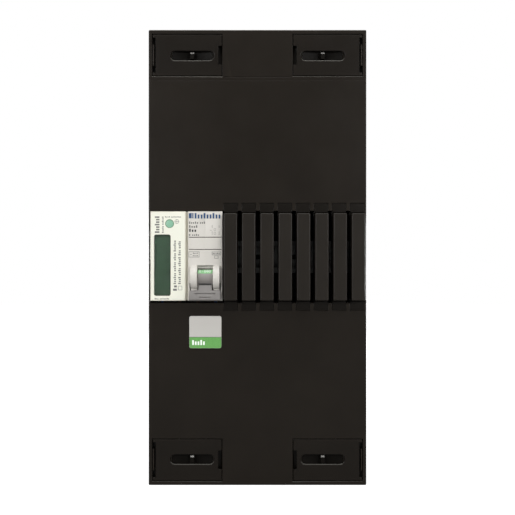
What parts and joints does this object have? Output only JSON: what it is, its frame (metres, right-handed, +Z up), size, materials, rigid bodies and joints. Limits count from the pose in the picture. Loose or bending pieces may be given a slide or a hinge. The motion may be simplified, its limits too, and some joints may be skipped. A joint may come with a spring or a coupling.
{
  "type": "consumer unit",
  "caption": "Wall-mounted breaker panel box with a slim meter, a toggle breaker, snap-in blank modules and corner cover locks on a rail.",
  "frame": {"origin": "middle of the flat back face, which lies on the wall", "axes": "+X to the right along the device row as a user sees it, -Y out of the wall towards the user, +Z up"},
  "size_m": [0.22, 0.087, 0.46],
  "materials": {
    "cover_plastic": "anthracite moulded plastic, fine satin texture",
    "corner_plastic": "anthracite moulded plastic, fine satin texture",
    "lock_plastic": "dark grey moulded plastic, satin",
    "blank_plastic": "anthracite moulded plastic, satin",
    "label_face": "grey laminated label with a green band",
    "meter_plastic": "warm white moulded plastic, satin",
    "breaker_plastic": "light grey moulded plastic, satin",
    "toggle_plastic": "mid grey moulded plastic, satin",
    "lcd_pane": "clear pane, slightly green",
    "lcd_panel": "dark green unlit display",
    "pulse_lens": "pale green translucent lens",
    "circuit_board": "green solder resist",
    "ferrite": "black ferrite",
    "clip_plastic": "black nylon",
    "zinc_steel": "zinc-plated steel",
    "copper": "bare copper",
    "brass": "plain brass",
    "brown_insulation": "brown wire insulation",
    "blue_insulation": "blue wire insulation"
  },
  "bodies": {
    "base": {"base_tray": "cover_plastic", "cable_entry_plate_top": "cover_plastic", "cable_entry_plate_bottom": "cover_plastic", "din_rail": "zinc_steel", "rail_screw_left": "zinc_steel", "rail_screw_right": "zinc_steel", "earth_bar_holder": "clip_plastic", "earth_bar": "brass", "meter_rear_housing": "meter_plastic", "meter_front_housing": "meter_plastic", "meter_lcd_window": "lcd_pane", "meter_lcd_panel": "lcd_panel", "meter_circuit_board": "circuit_board", "meter_pulse_light": "pulse_lens", "meter_current_transformer": "ferrite", "meter_busbar": "copper", "meter_screw_top_left": "zinc_steel", "meter_screw_top_right": "zinc_steel", "meter_screw_bottom_left": "zinc_steel", "meter_screw_bottom_right": "zinc_steel", "breaker_housing_left": "breaker_plastic", "breaker_housing_right": "breaker_plastic", "breaker_toggle_pin": "zinc_steel", "breaker_contact_pin": "zinc_steel", "breaker_live_fixed_contact": "copper", "breaker_neutral_fixed_contact": "copper", "breaker_arc_chute": "zinc_steel", "breaker_magnet_coil": "copper", "breaker_bimetal_strip": "zinc_steel", "breaker_screw_top_left": "zinc_steel", "breaker_screw_top_right": "zinc_steel", "breaker_screw_bottom_left": "zinc_steel", "breaker_screw_bottom_right": "zinc_steel", "live_link_wire": "brown_insulation", "neutral_link_wire": "blue_insulation"},
    "cover": {"front_cover": "cover_plastic", "group_label": "label_face"},
    "corner_plate_top_left": {"corner_plate_top_left": "corner_plastic"},
    "corner_plate_top_right": {"corner_plate_top_right": "corner_plastic"},
    "corner_plate_bottom_left": {"corner_plate_bottom_left": "corner_plastic"},
    "corner_plate_bottom_right": {"corner_plate_bottom_right": "corner_plastic"},
    "cover_lock_top_left": {"cover_lock_top_left": "lock_plastic"},
    "cover_lock_top_right": {"cover_lock_top_right": "lock_plastic"},
    "cover_lock_bottom_left": {"cover_lock_bottom_left": "lock_plastic"},
    "cover_lock_bottom_right": {"cover_lock_bottom_right": "lock_plastic"},
    "blank_plate_1": {"blank_plate_1": "blank_plastic"},
    "blank_plate_2": {"blank_plate_2": "blank_plastic"},
    "blank_plate_3": {"blank_plate_3": "blank_plastic"},
    "blank_plate_4": {"blank_plate_4": "blank_plastic"},
    "blank_plate_5": {"blank_plate_5": "blank_plastic"},
    "blank_plate_6": {"blank_plate_6": "blank_plastic"},
    "blank_plate_7": {"blank_plate_7": "blank_plastic"},
    "blank_plate_8": {"blank_plate_8": "blank_plastic"},
    "toggle": {"breaker_toggle": "toggle_plastic"},
    "contacts": {"breaker_live_contact_arm": "copper", "breaker_neutral_contact_arm": "copper"},
    "meter_clip": {"meter_rail_clip": "clip_plastic"},
    "breaker_clip": {"breaker_rail_clip": "clip_plastic"}
  },
  "joints": [
    {"name": "cover_lift_off", "type": "slide", "parent": "base", "child": "cover", "axis": [0, -1, 0], "range_m": [0, 0.1]},
    {"name": "corner_plate_top_left_pull", "type": "slide", "parent": "cover", "child": "corner_plate_top_left", "axis": [0, -1, 0], "range_m": [0, 0.015]},
    {"name": "corner_plate_top_right_pull", "type": "slide", "parent": "cover", "child": "corner_plate_top_right", "axis": [0, -1, 0], "range_m": [0, 0.015]},
    {"name": "corner_plate_bottom_left_pull", "type": "slide", "parent": "cover", "child": "corner_plate_bottom_left", "axis": [0, -1, 0], "range_m": [0, 0.015]},
    {"name": "corner_plate_bottom_right_pull", "type": "slide", "parent": "cover", "child": "corner_plate_bottom_right", "axis": [0, -1, 0], "range_m": [0, 0.015]},
    {"name": "cover_lock_top_left_turn", "type": "hinge", "parent": "cover", "child": "cover_lock_top_left", "pos_m": [-0.066, -0.0668, 0.204], "axis": [0, -1, 0], "range_deg": [0, 90]},
    {"name": "cover_lock_top_right_turn", "type": "hinge", "parent": "cover", "child": "cover_lock_top_right", "pos_m": [0.066, -0.0668, 0.204], "axis": [0, -1, 0], "range_deg": [0, 90]},
    {"name": "cover_lock_bottom_left_turn", "type": "hinge", "parent": "cover", "child": "cover_lock_bottom_left", "pos_m": [-0.066, -0.0668, -0.204], "axis": [0, -1, 0], "range_deg": [0, 90]},
    {"name": "cover_lock_bottom_right_turn", "type": "hinge", "parent": "cover", "child": "cover_lock_bottom_right", "pos_m": [0.066, -0.0668, -0.204], "axis": [0, -1, 0], "range_deg": [0, 90]},
    {"name": "blank_plate_1_pull", "type": "slide", "parent": "cover", "child": "blank_plate_1", "axis": [0, -1, 0], "range_m": [0, 0.04]},
    {"name": "blank_plate_2_pull", "type": "slide", "parent": "cover", "child": "blank_plate_2", "axis": [0, -1, 0], "range_m": [0, 0.04]},
    {"name": "blank_plate_3_pull", "type": "slide", "parent": "cover", "child": "blank_plate_3", "axis": [0, -1, 0], "range_m": [0, 0.04]},
    {"name": "blank_plate_4_pull", "type": "slide", "parent": "cover", "child": "blank_plate_4", "axis": [0, -1, 0], "range_m": [0, 0.04]},
    {"name": "blank_plate_5_pull", "type": "slide", "parent": "cover", "child": "blank_plate_5", "axis": [0, -1, 0], "range_m": [0, 0.04]},
    {"name": "blank_plate_6_pull", "type": "slide", "parent": "cover", "child": "blank_plate_6", "axis": [0, -1, 0], "range_m": [0, 0.04]},
    {"name": "blank_plate_7_pull", "type": "slide", "parent": "cover", "child": "blank_plate_7", "axis": [0, -1, 0], "range_m": [0, 0.04]},
    {"name": "blank_plate_8_pull", "type": "slide", "parent": "cover", "child": "blank_plate_8", "axis": [0, -1, 0], "range_m": [0, 0.04]},
    {"name": "toggle_turn", "type": "hinge", "parent": "base", "child": "toggle", "pos_m": [-0.0526, -0.0725, -0.0197], "axis": [-1, 0, 0], "range_deg": [0, 100]},
    {"name": "contact_turn", "type": "hinge", "parent": "base", "child": "contacts", "pos_m": [-0.0526, -0.05, -0.014], "axis": [-1, 0, 0], "range_deg": [0, 22.5]},
    {"name": "meter_rail_clip_slide", "type": "slide", "parent": "base", "child": "meter_clip", "axis": [0, 0, -1], "range_m": [0, 0.0035], "stiffness_N_per_m": 400},
    {"name": "breaker_rail_clip_slide", "type": "slide", "parent": "base", "child": "breaker_clip", "axis": [0, 0, -1], "range_m": [0, 0.0035], "stiffness_N_per_m": 400}
  ],
  "couplings": [
    {"joint": "contact_turn", "follows": "toggle_turn", "ratio": 0.225}
  ]
}
